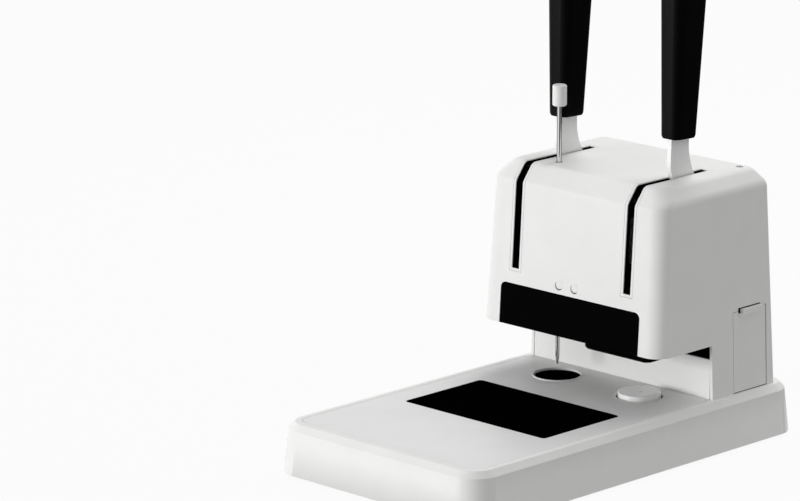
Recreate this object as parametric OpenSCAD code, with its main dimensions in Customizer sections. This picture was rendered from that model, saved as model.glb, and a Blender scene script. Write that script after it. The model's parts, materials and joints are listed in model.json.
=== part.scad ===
// Document riveting machine. Millimetres, +Z up, +X to the user's right, -Y to the user.
// The origin is at the middle of the base's footprint, on the surface that the machine stands on.

/* [Base] */
// Width of the base across the chamfer's lower edge
base_w = 261; // [255:1:285]
// Depth of the base across the chamfer's lower edge
base_d = 455; // [448:1:490]
// Height of the base moulding
base_h = 49; // [46:1:60]
// Height of the rubber feet under the base moulding
foot_h = 3; // [2:0.5:6]
// Radius of a rubber foot
foot_r = 9; // [7:0.5:11]
// How far the base's sides lean out on the way down
base_lean = 3.9; // [0:0.1:6]
// Size of the chamfer round the top of the base
base_chamfer = 5.9; // [3:0.1:8]
// Corner radius of the base, seen from above
base_corner = 27; // [22:1:34]
// Wall thickness of the base moulding
base_wall = 3; // [2:0.5:4]

/* [Work surface] */
// Width of the inset work plate
plate_w = 236.6; // [236:0.2:240]
// Distance from the chamfer to the work plate's front edge
plate_margin = 8.4; // [6:0.2:12]
// Thickness of the work plate
plate_t = 2.5; // [2:0.1:3.5]
// Width of the instruction panel
panel_w = 182.6; // [150:0.2:200]
// Depth of the instruction panel
panel_d = 106.4; // [80:0.2:110]
// Distance from the column to the instruction panel's rear edge
panel_gap = 103.4; // [98:0.2:110]
// Thickness of the instruction panel
panel_t = 0.8; // [0.5:0.1:1.2]
// Radius of the drill pad
pad_r = 23; // [20:0.5:25]
// Thickness of the drill pad
pad_t = 6; // [4:0.5:9]
// Depth of the drill pad's face below the work surface
pad_drop = 1.5; // [0.5:0.1:3]
// Radius of the rivet seat's white disc
seat_r = 21.2; // [18:0.2:23]
// Height of the rivet seat above the work surface
seat_rise = 4.6; // [4:0.1:6]
// How far the rivet seat can be pressed down
seat_travel = 3.5; // [2:0.1:4]

/* [Housing] */
// Height of the throat between the work surface and the head
throat_h = 54; // [50:1:64]
// Height of the head from its lower edge to its top
head_h = 161; // [158:1:175]
// Width of the housing at the work surface
house_w = 238.6; // [238:0.2:242]
// How far each side leans in for each unit of height
side_lean = 0.036; // [0.02:0.002:0.045]
// Distance from the middle of the base to the column's front face
column_y = 115.7; // [112:0.1:116]
// Depth of the column at the work surface
column_d = 94.7; // [92:0.1:100]
// How far the head reaches in front of the column
overhang = 78; // [76:0.5:84]
// How far the head's front leans back for each unit of height
front_lean = 0.06; // [0.04:0.005:0.08]
// Height of the slanted facet at the head's upper front edge
facet_h = 17.3; // [14:0.1:20]
// Depth of the slanted facet at the head's upper front edge
facet_d = 13.5; // [11:0.1:16]
// Radius of the head's upright front corners
front_corner = 17; // [14:0.5:20]
// Radius of the housing's upright rear corners
rear_corner = 6; // [5:0.5:10]
// Radius of the rounding along the top's side edges
top_round = 20; // [16:0.5:24]
// Wall thickness of the housing
house_wall = 3; // [2.5:0.1:3.5]
// Height of the column's front panel above the work surface
front_panel_h = 39.5; // [34:0.5:44]
// Width of the smoked front window
window_w = 180.8; // [160:0.2:190]
// Height of the smoked front window
window_h = 41.4; // [34:0.2:46]
// Corner radius of the smoked front window
window_corner = 6; // [3:0.5:9]
// Radius of an indicator lens
lens_r = 4.5; // [3:0.25:6]
// Distance between the two indicator lenses
lens_pitch = 20; // [14:1:30]
// Height of the indicator lenses above the window
lens_rise = 9.6; // [7:0.2:12]
// Sideways place of the lenses' middle
lens_x = -4; // [-10:1:10]

// Distance from the housing's right side in to the small hole in its top
hole_in = 31.1; // [28:0.1:34]
// Distance from the column's front face back to the small hole in the top
hole_back = 71.2; // [68:0.1:73]
// Radius of the small hole in the top
hole_r = 4; // [3:0.25:5]

/* [Lever slots] */
// Distance from the middle to each lever's plane
lever_x = 72.6; // [72:0.2:76]
// Width of the opening in a slot trim
slot_w = 9.4; // [8:0.2:11]
// Width of a slot trim's rim
slot_rim = 2.6; // [2:0.1:3.2]
// Depth of a slot trim into the housing
slot_depth = 5; // [4:0.2:7]
// Height of a slot's lower end above the head's lower edge
slot_low = 57; // [54:1:60]
// Distance from the column's front face back to a slot's rear end
slot_back = 37.6; // [34:0.2:42]

/* [Levers] */
// Distance from the column's front face back to the lever axles
pivot_back = 16.3; // [15:0.1:18]
// Height of the lever axles above the head's lower edge
pivot_rise = 78; // [76:0.5:81]
// Angle through which a lever swings forward
lever_swing = 80; // [70:1:80]
// Thickness of a lever arm
arm_t = 5; // [4:0.5:6]
// Width of a lever arm above the housing
arm_w = 25.6; // [22:0.2:28]
// Radius of a lever arm's hub
arm_hub_r = 21; // [17:0.5:22]
// Radius of a lever axle
axle_r = 6; // [5:0.5:7]
// Length of a grip
grip_len = 172; // [140:1:190]
// Depth of a grip at its lower end
grip_d0 = 33; // [31:0.5:36]
// Depth of a grip near its upper end
grip_d1 = 46; // [40:0.5:50]
// Width of a grip at its lower end
grip_w0 = 24; // [20:0.5:28]
// Width of a grip near its upper end
grip_w1 = 31; // [26:0.5:36]
// How far a lever leans back at rest, in degrees
grip_lean = 2; // [0:0.5:3]
// Height of the grips above the top of the housing
grip_rise = 38; // [34:1:50]

/* [Drill] */
// Distance from the column's front face forward to both stations
station_gap = 36.8; // [34:0.2:40]
// Distance from the middle to the drill's axis
drill_off = 50.4; // [49:0.2:51]
// Outer radius of the hollow drill
drill_r = 3.2; // [3:0.1:3.4]
// Bore radius of the hollow drill
drill_bore_r = 2.4; // [2.3:0.05:2.6]
// Radius of the spindle
spindle_r = 6; // [5.5:0.1:6.4]
// Tooth size of both racks and sectors
tooth_m = 1.5; // [1.5:0.05:1.6]
// Number of teeth that a full circle of the drill's sector would have
drill_teeth = 52; // [51:1:52]
// Radius of the drill motor
motor_r = 21; // [18:0.5:22]
// Radius of the spindle pulley
spindle_pulley_r = 8; // [7:0.2:8.2]
// Radius of the motor pulley
motor_pulley_r = 10; // [7:0.2:11]
// Thickness of the drive belt
belt_t = 1.2; // [0.8:0.1:1.6]

/* [Clearing rod] */
// Radius of the clearing rod above its shoulder
rod_r = 2.45; // [2.3:0.05:2.8]
// Radius of the clearing rod below its shoulder
rod_low_r = 2.05; // [1.8:0.05:2.1]
// Height of the rod's tip above the work surface
rod_tip_rise = 11.5; // [8:0.5:20]
// Length of the rod's taper
rod_taper = 8; // [5:0.5:12]
// Radius of the rod's cap
cap_r = 7; // [5:0.25:9]
// Height of the rod's cap
cap_h = 21; // [14:0.5:26]
// Height of the cap's lower edge above the top of the housing
cap_rise = 56; // [40:1:60]

/* [Rivet press] */
// Distance from the middle to the rivet station's axis
rivet_off = 57.4; // [56:0.2:58]
// Number of teeth that a full circle of the rivet's sector would have
rivet_teeth = 42; // [41:1:42]
// Radius of the upper die's tip
die_r = 5; // [4:0.25:6]
// Width of the guard under the head
guard_w = 85; // [70:1:90]
// Depth of the guard under the head
guard_d = 74; // [70:1:76]
// How far the guard reaches below the head
guard_drop = 7; // [4:0.5:9]

/* [Chip drawer] */
// Width of the chip drawer's front
drawer_w = 48; // [40:0.5:48]
// Height of the chip drawer's front
drawer_h = 80.6; // [60:0.2:84]
// Distance from the column's front face back to the drawer
drawer_back = 31.8; // [30:0.2:34]
// How far the drawer reaches into the column
drawer_len = 96; // [70:1:100]
// How far the drawer pulls out
drawer_travel = 85; // [60:1:95]
// Width of the drawer's pull tab
tab_w = 33; // [20:1:36]
// How far the pull tab stands out
tab_out = 3.6; // [2:0.2:6]

/* [Fits] */
// Running clearance between a shaft and its bore, on the radius
run_gap = 0.05; // [0.03:0.01:0.08]
// Clearance between parts that move past each other
move_gap = 0.4; // [0.3:0.05:0.6]
// Gap at the edge of an inset panel
seam = 0.4; // [0.2:0.05:0.5]

/* [Hidden] */
$fn = 64;
sliver = 0.01;
far = 400;

// Heights
surf_z = foot_h + base_h;
head_z = surf_z + throat_h;
top_z = head_z + head_h;
bend_z = top_z - facet_h;
pivot_z = head_z + pivot_rise;
// Depths
head_y = column_y - overhang;
station_y = column_y - station_gap;
pivot_y = column_y + pivot_back;
rear_y0 = column_y + column_d;
plate_front_y = -base_d / 2 + base_chamfer + plate_margin;
// Housing planes
function side_x(z) = house_w / 2 - side_lean * (z - surf_z);
function front_y(z) = head_y + front_lean * (z - head_z);
function facet_y(z) = front_y(bend_z) + (z - bend_z) * facet_d / facet_h;
function back_y(z) = rear_y0 - side_lean * (z - surf_z);
facet_k = sqrt(facet_d * facet_d + facet_h * facet_h) / facet_h;
function face_y(z, t) = max(front_y(z) + t, facet_y(z) + t * facet_k);

// Rounded rectangle with true arcs, its middle at the origin
module round_rect(w, d, r) {
    union() {
        square([w - 2 * r, d], center = true);
        square([w, d - 2 * r], center = true);
        for (x = [-1, 1], y = [-1, 1]) translate([x * (w / 2 - r), y * (d / 2 - r)]) circle(r);
    }
}
module round_plate(w, d, r, t) { linear_extrude(t) round_rect(w, d, r); }
// Straight cylinder along +X
module rod_x(r, len) { rotate([0, 90, 0]) cylinder(h = len, r = r); }
// Straight cylinder along -Y
module rod_y(r, len) { rotate([90, 0, 0]) cylinder(h = len, r = r); }
// Box from its low corner to its high corner
module span(a, b) { translate(a) cube([b[0] - a[0], b[1] - a[1], b[2] - a[2]]); }
// Tube with its foot at the origin
module tube(ro, ri, h) {
    difference() {
        cylinder(h = h, r = ro);
        translate([0, 0, -1]) cylinder(h = h + 2, r = ri);
    }
}
// Profile in the YZ plane, extruded from x0 to x1
module side_profile(x0, x1) {
    translate([x0, 0, 0]) rotate([90, 0, 90]) linear_extrude(x1 - x0) children();
}

// Thin slice of the base's outline at one height
module base_slice(z, w, d, r) {
    for (x = [-1, 1], y = [-1, 1])
        translate([x * (w / 2 - r), y * (d / 2 - r), z]) cylinder(h = sliver, r = r, $fn = 32);
}
// Outer form of the base, drawn in by t
module base_form(t) {
    low = foot_h - (t > 0 ? 1 : 0);
    hull() {
        base_slice(low, base_w + 2 * base_lean - 2 * t, base_d + 2 * base_lean - 2 * t, base_corner + 2 - t);
        base_slice(surf_z - base_chamfer - sliver - t / 2, base_w - 2 * t, base_d - 2 * t, base_corner - t);
        base_slice(surf_z - sliver - (t > 0 ? t + plate_t : 0), base_w - 2 * base_chamfer - 2 * t,
            base_d - 2 * base_chamfer - 2 * t, base_corner - base_chamfer - t / 2);
    }
}

// One slice of the housing's outline, drawn in by t at the walls and by extra at the sides
module house_slice(z, t, extra) {
    hw = side_x(z) - t - extra;
    y0 = face_y(z, t);
    y1 = back_y(z) - t - extra / 2;
    rf = front_corner - t;
    rr = rear_corner - t / 2;
    for (x = [-1, 1]) {
        translate([x * (hw - rf), y0 + rf, z - sliver]) cylinder(h = sliver, r = rf, $fn = 32);
        translate([x * (hw - rr), y1 - rr, z - sliver]) cylinder(h = sliver, r = rr, $fn = 32);
    }
}
// Outer form of the housing without its throat, drawn in by t
module house_form(t) {
    r = top_round - t;
    zt = top_z - t;
    hull() {
        house_slice(surf_z + (t > 0 ? -1 : sliver), t, 0);
        house_slice(bend_z - (facet_k - 1) * t, t, 0);
        for (a = [0:15:90]) house_slice(zt - r * (1 - sin(a)), t, r * (1 - cos(a)));
    }
}
// Space in front of the column, under the head
module throat(gap = 0) {
    span([-far, -far, 0], [far, column_y + gap, head_z + gap]);
}
// Piece of the housing's wall, t deep, inside the volume of its children
module wall_patch(t) {
    intersection() {
        difference() { house_form(0); house_form(t); }
        children();
    }
}
// Prism along Y through the front face, for the window's outline grown by g
module window_prism(g) {
    w = window_w / 2 + g;
    h = head_z + window_h + g;
    r = window_corner + g;
    translate([0, column_y, 0]) rotate([90, 0, 0]) linear_extrude(far) union() {
        translate([-w, 0]) square([2 * w, h - r]);
        translate([-w + r, 0]) square([2 * w - 2 * r, h]);
        for (x = [-1, 1]) translate([x * (w - r), h - r]) circle(r);
    }
}
// Volume of one slot, grown by g at its edges
module slot_box(side, g) {
    span([side * lever_x - slot_w / 2 - g, head_y - 20, head_z + slot_low - g],
        [side * lever_x + slot_w / 2 + g, column_y + slot_back + g, top_z + 20]);
}

// Feet and base
foot_x = base_w / 2 - 16;
foot_y = base_d / 2 - 24;
bottom_t = 1.5;
bottom_z = foot_h;
frame_x = side_x(pivot_z) - house_wall - 12;
frame_t = 4;
frame_y0 = column_y + 9.3;
frame_y1 = rear_y0 - 15;
beam_w = 190;
beam_d = 40;
beam_z = bottom_z + bottom_t + 16;
beam_t = 6;
well_z = surf_z - pad_drop - pad_t;
well_r = pad_r + 1;
cup_wall = 2;
seat_hole_r = seat_r + 1.8;
guide_wall = 2;
base_well_gap = 0.6;
module base_shell() {
    color("white") difference() {
        base_form(0);
        base_form(base_wall);
        translate([0, (plate_front_y + column_y) / 2, surf_z - plate_t])
            round_plate(plate_w + 2 * seam, column_y - plate_front_y + 2 * seam, 14, plate_t + 1);
        translate([-drill_off, station_y, 0]) cylinder(h = far, r = well_r + cup_wall + base_well_gap);
        translate([rivet_off, station_y, 0]) cylinder(h = far, r = seat_hole_r + guide_wall + base_well_gap);
        span([-frame_x - 8, frame_y0 - 1, 0], [frame_x + 8, frame_y1 + 4, far]);
    }
}
module work_plate() {
    pt = plate_t;
    color([0.86, 0.86, 0.85]) difference() {
        translate([0, (plate_front_y + column_y) / 2, surf_z - pt])
            round_plate(plate_w, column_y - plate_front_y, 13.6, pt);
        translate([-drill_off, station_y, 0]) cylinder(h = far, r = well_r);
        translate([rivet_off, station_y, 0]) cylinder(h = far, r = seat_hole_r);
        translate([0, column_y - panel_gap - panel_d / 2, surf_z - panel_t + 0.15])
            round_plate(panel_w + 0.3, panel_d + 0.3, 4.15, 5);
    }
}
module instruction_panel() {
    color([0.05, 0.05, 0.055]) translate([0, column_y - panel_gap - panel_d / 2, surf_z - panel_t + 0.2])
        round_plate(panel_w, panel_d, 4, panel_t);
}
screw_x = base_w / 2 - 34;
screw_y = base_d / 2 - 14;
module bottom_plate() {
    color([0.6, 0.61, 0.62]) translate([0, 0, bottom_z]) difference() {
        round_plate(base_w + 2 * base_lean - 2 * base_wall - 3, base_d + 2 * base_lean - 2 * base_wall - 3,
            base_corner - 3, bottom_t);
        for (x = [-1, 1], y = [-1, 1])
            translate([x * screw_x, y * screw_y, -1]) cylinder(h = 9, r = 2.1);
        for (x = [-1, 0, 1], y = [0:5])
            translate([x * 34, -150 + y * 16, -1]) round_plate(26, 5, 2.4, 9);
    }
}
module feet() {
    color([0.08, 0.08, 0.08]) for (x = [-1, 1], y = [-1, 1])
        translate([x * foot_x, y * foot_y, 0]) {
            cylinder(h = foot_h, r1 = foot_r - 0.6, r2 = foot_r);
        }
}
module base_screws() {
    color("silver") for (x = [-1, 1], y = [-1, 1]) translate([x * screw_x, y * screw_y, bottom_z - 1.8]) {
        difference() {
            cylinder(h = 1.8, r = 3.6);
            translate([0, 0, -1]) cylinder(h = 2, r = 1.4, $fn = 6);
        }
        translate([0, 0, 1.8]) cylinder(h = 9, r = 2);
    }
}
module drill_pad() {
    color([0.06, 0.06, 0.06]) translate([-drill_off, station_y, well_z]) difference() {
        cylinder(h = pad_t, r = pad_r);
        translate([0, 0, pad_t - 0.4]) difference() {
            cylinder(h = 1, r = pad_r - 2.6);
            translate([0, 0, -1]) cylinder(h = 3, r = pad_r - 3.2);
        }
    }
}
module drill_pad_cup() {
    color("silver") translate([-drill_off, station_y, 0]) {
        difference() {
            translate([0, 0, well_z - 2]) cylinder(h = surf_z - plate_t - well_z + 2, r = well_r + cup_wall);
            translate([0, 0, well_z]) cylinder(h = far, r = well_r);
        }
        translate([0, 0, beam_z + beam_t]) cylinder(h = well_z - 2 - beam_z - beam_t, r = 14);
    }
}
module anvil_beam() {
    color([0.5, 0.51, 0.53]) {
        span([-beam_w / 2, station_y - beam_d / 2, beam_z], [beam_w / 2, station_y + beam_d / 2, beam_z + beam_t]);
        for (x = [-1, 1]) translate([x * (beam_w / 2 - 3), 0, 0])
            span([-3, station_y - beam_d / 2, bottom_z + bottom_t], [3, station_y + beam_d / 2, beam_z]);
    }
}
seat_top = surf_z + seat_rise;
seat_wall = 2.5;
seat_low = surf_z - plate_t - 6;
heater_r = 9;
heater_top = seat_low - 6;
echo(seat_clear = seat_low - heater_top - seat_travel);
module seat_guide() {
    color([0.2, 0.2, 0.2]) translate([rivet_off, station_y, beam_z + beam_t]) {
        tube(seat_hole_r + guide_wall, seat_r + move_gap, surf_z - plate_t - beam_z - beam_t);
    }
}
module rivet_seat() {
    color([0.93, 0.93, 0.92]) translate([rivet_off, station_y, 0]) difference() {
        union() {
            translate([0, 0, seat_low]) cylinder(h = seat_top - seat_low - 0.8, r = seat_r);
            translate([0, 0, seat_top - 0.8]) cylinder(h = 0.8, r1 = seat_r, r2 = seat_r - 0.8);
        }
        translate([0, 0, seat_low - 1]) cylinder(h = seat_top - seat_low + 1 - seat_wall, r = seat_r - seat_wall);
        cylinder(h = far, r = 2.3 + move_gap / 2);
    }
}
spring_wire = 1.6;
module lower_die() {
    color([0.72, 0.6, 0.35]) translate([rivet_off, station_y, 0]) {
        translate([0, 0, beam_z + beam_t]) cylinder(h = 3, r = seat_r - 1);
        translate([0, 0, beam_z + beam_t + 3]) cylinder(h = heater_top - beam_z - beam_t - 3, r = heater_r);
        translate([0, 0, heater_top]) cylinder(h = seat_top + 0.3 - heater_top, r = 2.3);
    }
}

// Helical tube, wound round Z from z0 to z1: ring i of n round each turn, six sides
rings = 8;
sides = 6;
function coil_point(r, z0, z1, turns, i) =
    let (a = 360 * i / rings) [r * cos(a), r * sin(a), z0 + (z1 - z0) * i / (turns * rings)];
function coil_skin(r, wire, z0, z1, turns) = [for (i = [0:turns * rings], s = [0:sides - 1])
    let (p = coil_point(r, z0, z1, turns, i), a = 360 * i / rings, b = 360 * s / sides)
    p + wire / 2 * [cos(a) * cos(b), sin(a) * cos(b), sin(b)]];
function coil_faces(n) = concat([[for (s = [0:sides - 1]) s]],
    [[for (s = [0:sides - 1]) n * sides + sides - 1 - s]],
    [for (i = [0:n - 1], s = [0:sides - 1]) let (a = i * sides + s, b = i * sides + (s + 1) % sides)
        [a, a + sides, b]],
    [for (i = [0:n - 1], s = [0:sides - 1]) let (a = i * sides + s, b = i * sides + (s + 1) % sides)
        [b, a + sides, b + sides]]);
function coil_gap(r, wire, z0, z1, turns) = min([for (i = [0:(turns - 1) * rings], j = [-2:2])
    norm(coil_point(r, z0, z1, turns, i) - coil_point(r, z0, z1, turns, min(i + rings + j, turns * rings)))])
    - wire;
module coil(r, wire, z0, z1, turns) {
    echo(coil_least_gap = coil_gap(r, wire, z0 + wire / 2, z1 - wire / 2, turns));
    polyhedron(coil_skin(r, wire, z0 + wire / 2, z1 - wire / 2, turns), coil_faces(turns * rings));
}
module seat_spring() {
    color("silver") translate([rivet_off, station_y, 0])
        coil(seat_r - 7, spring_wire, beam_z + beam_t + 3, seat_top - seat_wall, 5);
}

// Housing
door_y0 = column_y + drawer_back;
door_y1 = door_y0 + drawer_w;
door_z1 = surf_z + drawer_h;
rear_in = 10;
rear_z0 = surf_z + 8;
rear_z1 = top_z - 24;
rear_t = 3;
hole_x = house_w / 2 - hole_in;
hole_y = column_y + hole_back;
tube_len = 60;
rod_hole_r = 3.8;
screw_r = 1.6;
screw_len = 7;
module lens_places(g) {
    for (s = [-1, 1]) translate([lens_x + s * lens_pitch / 2, 0, head_z + window_h + lens_rise])
        translate([0, column_y, 0]) rod_y(lens_r + g, far);
}
// Screw places of the rear cover
module rear_screw_places() {
    for (x = [-1, 1], z = [rear_z0 + 10, rear_z1 - 10])
        translate([x * (side_x(rear_z1) - rear_in - 8), back_y(z), z]) children();
}
// Block through the rear wall for the rear cover, grown by g
module rear_block(g) {
    w = side_x(rear_z1) - rear_in + g;
    span([-w, column_y + 60, rear_z0 - g], [w, far, rear_z1 + g]);
}
module house_cover() {
    color([0.93, 0.93, 0.92]) difference() {
        house_form(0);
        house_form(house_wall);
        throat();
        window_prism(seam / 2);
        lens_places(0.15);
        slot_box(-1, slot_rim + 0.15);
        slot_box(1, slot_rim + 0.15);
        rear_block(seam);
        span([80, door_y0 - seam, 0], [far, door_y1 + seam, door_z1 + seam]);
        span([80, door_y0 + (drawer_w - tab_w) / 2 - 1, 0], [far, door_y1 - (drawer_w - tab_w) / 2 + 1, door_z1 + 3.4]);
        translate([-drill_off, station_y, head_z]) cylinder(h = far, r = rod_hole_r);
        translate([hole_x, hole_y, head_z]) cylinder(h = far, r = hole_r);
    }
}
inlet_x = -62;
inlet_z = surf_z + 34;
inlet_w = 27;
inlet_h = 19.8;
switch_x = inlet_x;
switch_z = inlet_z + 48;
switch_w = 19;
switch_h = 27;
module rear_opening(x, z, w, h) { span([x - w / 2, column_y, z - h / 2], [x + w / 2, far, z + h / 2]); }
module rear_cover() {
    color([0.9, 0.9, 0.89]) difference() {
        wall_patch(rear_t) rear_block(0);
        rear_opening(inlet_x, inlet_z, inlet_w + 0.4, inlet_h + 0.4);
        rear_opening(switch_x, switch_z, switch_w + 0.4, switch_h + 0.4);
        for (i = [0:9]) translate([18, column_y, surf_z + 96 + i * 8]) span([-6, 0, 0], [56, far, 3.6]);
        rear_screw_places() rotate([-90, 0, 0]) translate([0, 0, -20]) cylinder(h = 40, r = screw_r + 0.2);
    }
}
module rear_screws() {
    color("silver") rear_screw_places() rotate([-90, 0, 0]) {
        translate([0, 0, -screw_len]) cylinder(h = screw_len + 0.4, r = screw_r);
        difference() {
            translate([0, 0, 0.25]) cylinder(h = 1.6, r = 3.1);
            translate([0, 0, 1]) cylinder(h = 2, r = 1.2, $fn = 6);
        }
    }
}
module column_front() {
    w = side_x(surf_z + front_panel_h) - house_wall - seam;
    color([0.93, 0.93, 0.92])
        span([-w, column_y + 1, surf_z], [w, column_y + 1 + 2.5, surf_z + front_panel_h]);
}
module front_window() {
    color([0.03, 0.03, 0.035]) difference() {
        wall_patch(house_wall) window_prism(0);
        throat();
    }
}
module slot_trim(side) {
    color([0.93, 0.93, 0.92]) difference() {
        wall_patch(slot_depth) slot_box(side, slot_rim);
        slot_box(side, 0);
    }
}
module left_slot_trim() { slot_trim(-1); }
module right_slot_trim() { slot_trim(1); }
module indicator_lenses() {
    lens_z = head_z + window_h + lens_rise;
    color([0.85, 0.9, 0.88]) for (s = [-1, 1])
        translate([lens_x + s * lens_pitch / 2, front_y(lens_z) + 6, lens_z]) {
            rod_y(lens_r, 6.2);
            rod_y(lens_r + 1.2, 2.2);
        }
}
plate_z = head_z + 0.6;
under_t = 2.5;
module underside_plate() {
    y0 = face_y(plate_z, house_wall) + seam;
    w = side_x(plate_z + under_t) - house_wall - seam;
    c = front_corner;
    color([0.1, 0.1, 0.1]) difference() {
        translate([0, 0, plate_z]) linear_extrude(under_t) union() {
            translate([-w, y0 + c]) square([2 * w, column_y - y0 - c]);
            translate([-w + c, y0]) square([2 * w - 2 * c, c + 1]);
            for (x = [-1, 1]) translate([x * (w - c), y0 + c]) circle(c);
        }
        translate([-drill_off, station_y, 0]) cylinder(h = far, r = 10);
        translate([rivet_off, guard_y0 + guard_long / 2, head_z]) round_plate(guard_w + 0.4, guard_long + 0.4, 8.2, 20);
    }
}
die_hole_r = 13;
guard_y0 = head_y + house_wall + 1.2;
guard_top = plate_z + under_t;
guard_long = guard_d - house_wall - 3;
module rivet_guard() {
    gw = guard_w;
    gd = guard_long;
    color([0.05, 0.05, 0.055]) difference() {
        union() {
            translate([rivet_off, guard_y0 + gd / 2, head_z - guard_drop + 2])
                round_plate(gw, gd, 8, guard_top - head_z + guard_drop - 2);
            hull() {
                translate([rivet_off, guard_y0 + gd / 2, head_z - guard_drop]) round_plate(gw - 4, gd - 4, 6, 0.01);
                translate([rivet_off, guard_y0 + gd / 2, head_z - guard_drop + 2]) round_plate(gw, gd, 8, 0.01);
            }
        }
        translate([rivet_off, station_y, 0]) cylinder(h = far, r = die_hole_r);
    }
}
tube_wall = 1.6;
module storage_tube() {
    z1 = top_z - house_wall - 0.4;
    color([0.85, 0.85, 0.85]) translate([hole_x, hole_y, z1 - tube_len]) {
        tube(hole_r + tube_wall, hole_r, tube_len);
    }
}

// Inner frame
top_t = 4;
top_plate_z = top_z - house_wall - 14;
tie_t = 3;
rear_tie_y = rear_y0 - 17;
cheek_x = 54;
rod_r2 = 5;
frame_top = top_plate_z;
module frame_plate(side, notch) {
    x0 = side > 0 ? frame_x : -frame_x - frame_t;
    color([0.62, 0.63, 0.65]) difference() {
        side_profile(x0, x0 + frame_t) polygon([
            [frame_y0, bottom_z + bottom_t], [frame_y1, bottom_z + bottom_t], [frame_y1, frame_top - 14],
            [frame_y1 - 14, frame_top], [face_y(frame_top, 12), frame_top],
            [head_y + 16, bend_z - 12], [head_y + 14, guard_top], [frame_y0, guard_top]]);
        translate([x0 - 1, pivot_y, pivot_z]) rod_x(axle_r, frame_t + 2);
        translate([x0 - 1, pivot_y - 2, head_z + 28]) rod_x(13, frame_t + 2);
        translate([x0 - 1, pivot_y + 40, pivot_z]) rod_x(15, frame_t + 2);
        if (notch) span([x0 - 1, door_y0 - 4, surf_z - 5], [x0 + 9, far, door_z1 + 8]);
    }
}
module left_frame() { frame_plate(-1, false); }
module right_frame() { frame_plate(1, true); }
cheek_z0 = pivot_z - 24;
cheek_z1 = pivot_z + 26;
module cheek(side) {
    x0 = side > 0 ? cheek_x : -cheek_x - frame_t;
    color([0.55, 0.56, 0.58]) difference() {
        span([x0, pivot_y - 14, cheek_z0], [x0 + frame_t, rear_tie_y, cheek_z1]);
        translate([x0 - 1, pivot_y, pivot_z]) rod_x(axle_r, frame_t + 2);
    }
}
module left_cheek() { cheek(-1); }
module right_cheek() { cheek(1); }
front_tie_y = head_y + 16;
module front_tie() {
    color([0.6, 0.6, 0.62]) difference() {
        span([-frame_x, front_tie_y, guard_top], [frame_x, front_tie_y + tie_t, guard_top + 38]);
        for (x = [-60:30:60]) translate([x, front_tie_y + 9, guard_top + 20]) rod_y(8, 20);
    }
}
module rear_tie() {
    color([0.6, 0.6, 0.62]) difference() {
        span([-frame_x, rear_tie_y, door_z1 + 24], [frame_x, rear_tie_y + tie_t, top_plate_z]);
        for (x = [-30, 30]) translate([x, rear_tie_y + 9, pivot_z + 36]) rod_y(12, 20);
    }
}
drill_rods = [-drill_off + 23.4, -drill_off + 40.4];
rivet_rods = [rivet_off - 45.4, rivet_off - 27.4];
module top_plate() {
    slot_rear = column_y + slot_back + slot_rim + 3;
    color([0.6, 0.6, 0.62]) difference() {
        union() {
            span([-frame_x, slot_rear, top_plate_z], [frame_x, rear_tie_y + tie_t, top_plate_z + top_t]);
            span([-60, station_y - 12, top_plate_z], [60, slot_rear + 1, top_plate_z + top_t]);
        }
        translate([-drill_off, station_y, 0]) cylinder(h = far, r = 6);
        translate([hole_x, hole_y, 0]) cylinder(h = far, r = hole_r + tube_wall + 0.1);
        translate([motor_x, motor_y, 0]) cylinder(h = far, r = 12);
    }
}
axle_in = cheek_x - 2;
axle_out = frame_x + frame_t + 3;
module lever_axles() {
    color("silver") for (s = [-1, 1])
        translate([s > 0 ? axle_in : -axle_out, pivot_y, pivot_z]) rod_x(axle_r, axle_out - axle_in);
}
module guide_rods() {
    color("silver") for (x = concat(drill_rods, rivet_rods))
        translate([x, station_y, guard_top]) cylinder(h = top_plate_z - guard_top, r = rod_r2);
}
shoulder_z = top_plate_z + top_t + 1;
module rod_bush() {
    color([0.9, 0.9, 0.88]) translate([-drill_off, station_y, top_plate_z]) difference() {
        union() {
            cylinder(h = top_t + 1, r = 5.95);
            translate([0, 0, top_t]) cylinder(h = 1, r = 9);
        }
        translate([0, 0, -1]) cylinder(h = 20, r = rod_low_r + run_gap);
    }
}
inlet_d = 24;
inlet_y = back_y(inlet_z) + 2;
module mains_inlet() {
    color([0.07, 0.07, 0.07]) difference() {
        union() {
            span([inlet_x - inlet_w / 2, inlet_y - inlet_d, inlet_z - inlet_h / 2],
                [inlet_x + inlet_w / 2, inlet_y, inlet_z + inlet_h / 2]);
            translate([inlet_x, inlet_y, inlet_z]) rotate([-90, 0, 0]) round_plate(inlet_w + 8, inlet_h + 8, 4, 2);
        }
        translate([inlet_x, inlet_y - 15, inlet_z]) rotate([-90, 0, 0]) round_plate(inlet_w - 3, inlet_h - 3.2, 2.5, 30);
    }
    color("silver") for (p = [[-7, -1.6], [0, 3.4], [7, -1.6]])
        span([inlet_x + p[0] - 1, inlet_y - 16, inlet_z + p[1] - 2], [inlet_x + p[0] + 1, inlet_y - 1, inlet_z + p[1] + 2]);
}
switch_y = back_y(switch_z) + 1.8;
module switch_frame() {
    color([0.07, 0.07, 0.07]) difference() {
        union() {
            span([switch_x - switch_w / 2, switch_y - 20, switch_z - switch_h / 2],
                [switch_x + switch_w / 2, switch_y, switch_z + switch_h / 2]);
            translate([switch_x, switch_y, switch_z]) rotate([-90, 0, 0]) round_plate(switch_w + 4, switch_h + 4, 2, 2);
        }
        span([switch_x - switch_w / 2 + 2.5, switch_y - 14, switch_z - switch_h / 2 + 2.5],
            [switch_x + switch_w / 2 - 2.5, far, switch_z + switch_h / 2 - 2.5]);
        translate([switch_x - switch_w / 2 - 1, switch_y - 5, switch_z]) rod_x(1.5, switch_w + 2);
    }
}
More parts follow.
